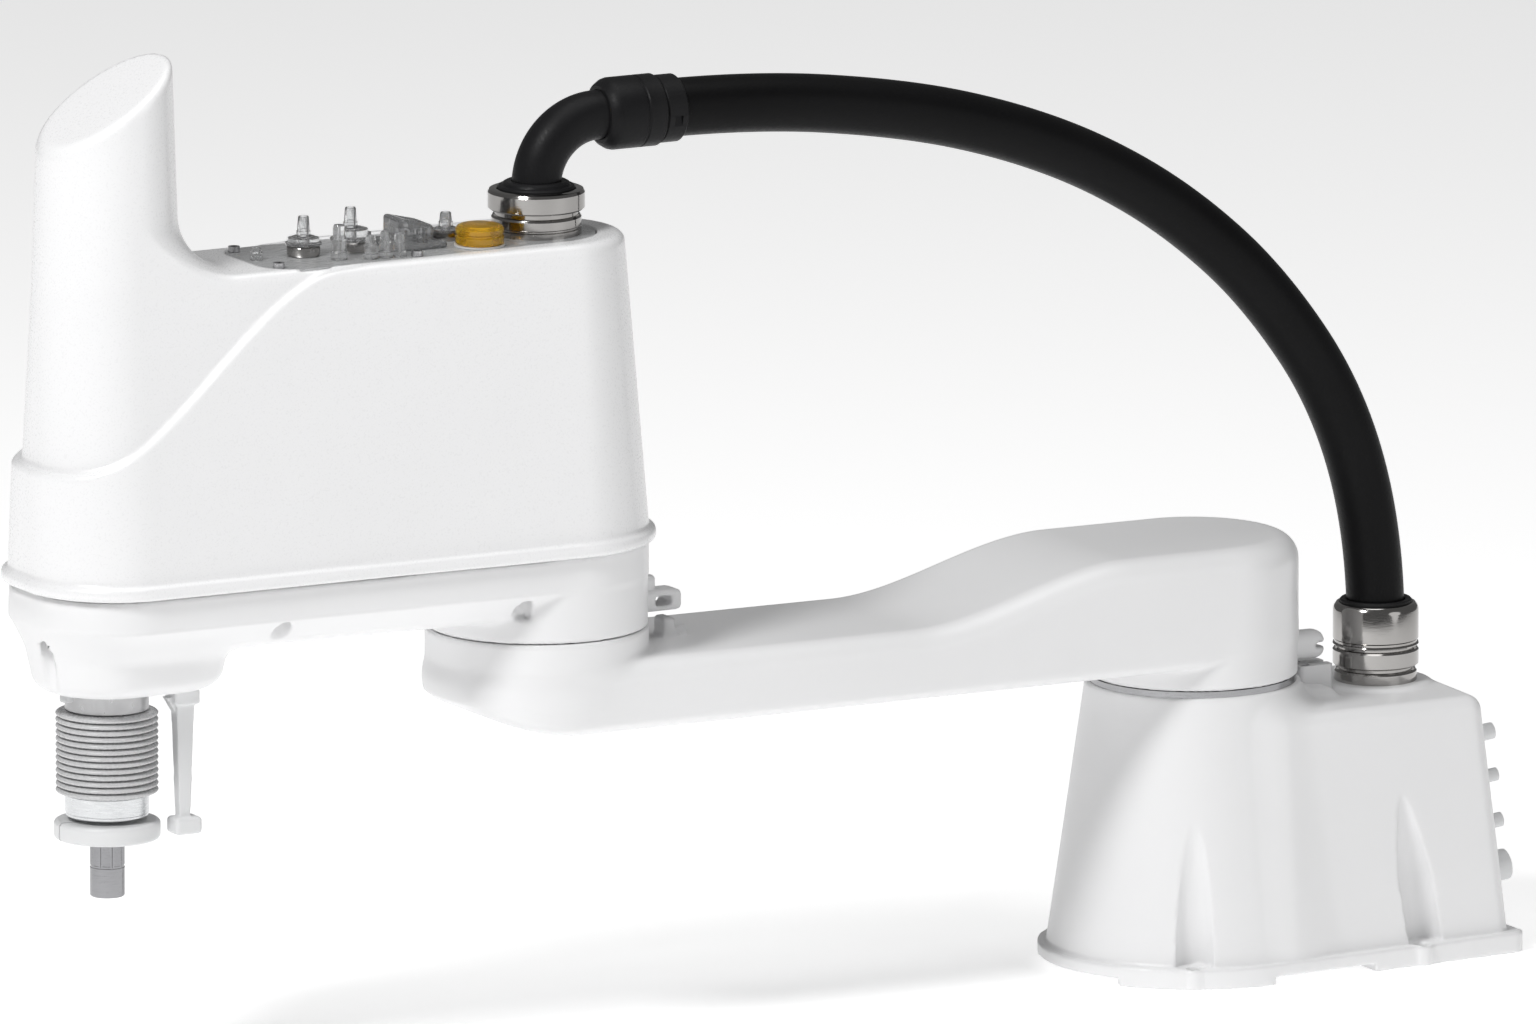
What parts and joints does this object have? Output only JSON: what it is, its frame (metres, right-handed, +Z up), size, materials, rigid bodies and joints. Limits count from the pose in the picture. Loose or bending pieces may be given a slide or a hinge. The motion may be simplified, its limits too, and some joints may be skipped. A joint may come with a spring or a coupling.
{
  "type": "scara robot arm",
  "caption": "Four-axis SCARA robot arm: bolted base, two horizontal links, a vertical quill with bellows, and an overhead cable hose.",
  "frame": {"origin": "the first axis (A1) at the mounting plane, under the base's foot pads", "axes": "+Z up along A1, +X along the straight arm from A1 to the quill, +Y across the arm to the robot's left"},
  "size_m": [0.9424, 0.178, 0.5901],
  "materials": {
    "white_casting": "satin powder-coated aluminium casting",
    "white_cover": "gloss white moulded cover",
    "black_plastic": "satin black moulded plastic",
    "hose_black": "satin black hose",
    "nickel": "bright nickel-plated brass",
    "deck_metal": "brushed and clear-anodised aluminium",
    "machined_aluminium": "turned and milled aluminium",
    "steel": "ground steel",
    "screw_steel": "zinc-plated steel",
    "bearing_steel": "hardened bearing steel",
    "grey_plastic": "light grey moulded plastic",
    "bellows_grey": "semi-gloss grey elastomer",
    "motor_body": "black anodised aluminium",
    "belt_rubber": "black reinforced rubber",
    "clear_plastic": "smoky clear plastic",
    "amber_lens": "amber transparent plastic",
    "gasket": "pale closed-cell foam",
    "button_red": "grey plastic button"
  },
  "bodies": {
    "base": {"base_housing": "white_casting", "base_rear_panel": "white_casting", "base_screws": "screw_steel", "base_connectors": "grey_plastic", "base_air_ports": "machined_aluminium", "base_gland": "nickel", "base_gland_seal": "black_plastic", "base_stop_block": "white_casting", "a1_motor": "motor_body", "a1_motor_plate": "machined_aluminium", "a1_reducer": "steel", "a1_bearing": "bearing_steel", "hose": "hose_black"},
    "a1_rotor": {"a1_motor_rotor": "steel"},
    "inner_arm": {"a1_output_flange": "steel", "a1_output_screws": "screw_steel", "inner_arm_casting": "white_casting", "a2_output_flange": "steel", "a2_output_screws": "screw_steel"},
    "outer_arm": {"outer_arm_casting": "white_casting", "hood_screws": "screw_steel", "a2_bearing": "bearing_steel", "a2_reducer": "steel", "a2_motor_plate": "machined_aluminium", "a2_motor": "motor_body", "drive_frame": "deck_metal", "a3_motor": "motor_body", "a3_belt": "belt_rubber", "ball_nut_bearing": "bearing_steel", "a4_motor": "motor_body", "a4_belt": "belt_rubber", "spline_nut_bearing": "bearing_steel", "hood": "white_cover", "hood_gasket": "gasket", "deck_plate": "deck_metal", "deck_screws": "screw_steel", "air_fittings": "clear_plastic", "air_fitting_collars": "clear_plastic", "signal_connector": "grey_plastic", "status_lamp": "amber_lens", "status_lamp_base": "grey_plastic", "hood_gland": "nickel", "bellows_clamp": "machined_aluminium", "bellows": "bellows_grey", "reference_arm": "machined_aluminium"},
    "a2_rotor": {"a2_motor_rotor": "steel"},
    "a3_rotor": {"a3_motor_rotor": "steel"},
    "a4_rotor": {"a4_motor_rotor": "steel"},
    "ball_nut": {"ball_screw_nut": "bearing_steel"},
    "spline_nut_body": {"spline_nut": "bearing_steel"},
    "z_carriage": {"lower_collar": "machined_aluminium"},
    "quill": {"spline_shaft": "steel", "flange_disc": "machined_aluminium", "flange_disc_screw": "screw_steel", "top_stop": "machined_aluminium"},
    "hose_swivel": {"elbow_collar": "black_plastic", "hose_elbow": "black_plastic", "hose_coupling": "black_plastic", "hose_nut": "black_plastic"},
    "brake_button_body": {"brake_button": "button_red"}
  },
  "joints": [
    {"name": "a1", "type": "hinge", "parent": "base", "child": "inner_arm", "pos_m": [0, 0, 0.2], "axis": [0, 0, 1], "range_deg": [-132, 132], "deforming": ["hose"]},
    {"name": "a1_rotor_spin", "type": "hinge", "parent": "base", "child": "a1_rotor", "pos_m": [0, 0, 0.2], "axis": [0, 0, 1], "range_deg": [-6700, 6700]},
    {"name": "a2", "type": "hinge", "parent": "inner_arm", "child": "outer_arm", "pos_m": [0.425, 0, 0.2], "axis": [0, 0, 1], "range_deg": [-145, 145]},
    {"name": "a2_rotor_spin", "type": "hinge", "parent": "outer_arm", "child": "a2_rotor", "pos_m": [0.425, 0, 0.2], "axis": [0, 0, 1], "range_deg": [-7300, 7300]},
    {"name": "a3", "type": "slide", "parent": "outer_arm", "child": "z_carriage", "axis": [0, 0, -1], "range_m": [0, 0.18], "deforming": ["bellows"]},
    {"name": "a4", "type": "hinge", "parent": "z_carriage", "child": "quill", "pos_m": [0.7, 0, 0.2], "axis": [0, 0, 1], "range_deg": [-358, 358]},
    {"name": "ball_nut_spin", "type": "hinge", "parent": "outer_arm", "child": "ball_nut", "pos_m": [0.7, 0, 0.2], "axis": [0, 0, 1], "range_deg": [-3300, 3300]},
    {"name": "a3_rotor_spin", "type": "hinge", "parent": "outer_arm", "child": "a3_rotor", "pos_m": [0.615, 0, 0.2], "axis": [0, 0, 1], "range_deg": [-8000, 8000]},
    {"name": "spline_nut_spin", "type": "hinge", "parent": "outer_arm", "child": "spline_nut_body", "pos_m": [0.7, 0, 0.2], "axis": [0, 0, 1], "range_deg": [-360, 360]},
    {"name": "a4_rotor_spin", "type": "hinge", "parent": "outer_arm", "child": "a4_rotor", "pos_m": [0.54, 0, 0.2], "axis": [0, 0, 1], "range_deg": [-900, 900]},
    {"name": "hose_swivel", "type": "hinge", "parent": "outer_arm", "child": "hose_swivel", "pos_m": [0.425, 0, 0.2], "axis": [0, 0, 1], "range_deg": [-146, 146]},
    {"name": "brake_release", "type": "slide", "parent": "outer_arm", "child": "brake_button_body", "axis": [0, 0, 1], "range_m": [0, 0.0025], "stiffness_N_per_m": 800, "springref_m": -0.001}
  ],
  "couplings": [
    {"joint": "a1_rotor_spin", "follows": "a1", "ratio": -50},
    {"joint": "a2_rotor_spin", "follows": "a2", "ratio": -50},
    {"joint": "ball_nut_spin", "follows": "a3", "rad_per_m": 314.16},
    {"joint": "a3_rotor_spin", "follows": "a3", "rad_per_m": 753.98},
    {"joint": "spline_nut_spin", "follows": "a4", "ratio": 1},
    {"joint": "a4_rotor_spin", "follows": "a4", "ratio": 2.4},
    {"joint": "hose_swivel", "follows": "a2", "ratio": -1}
  ]
}
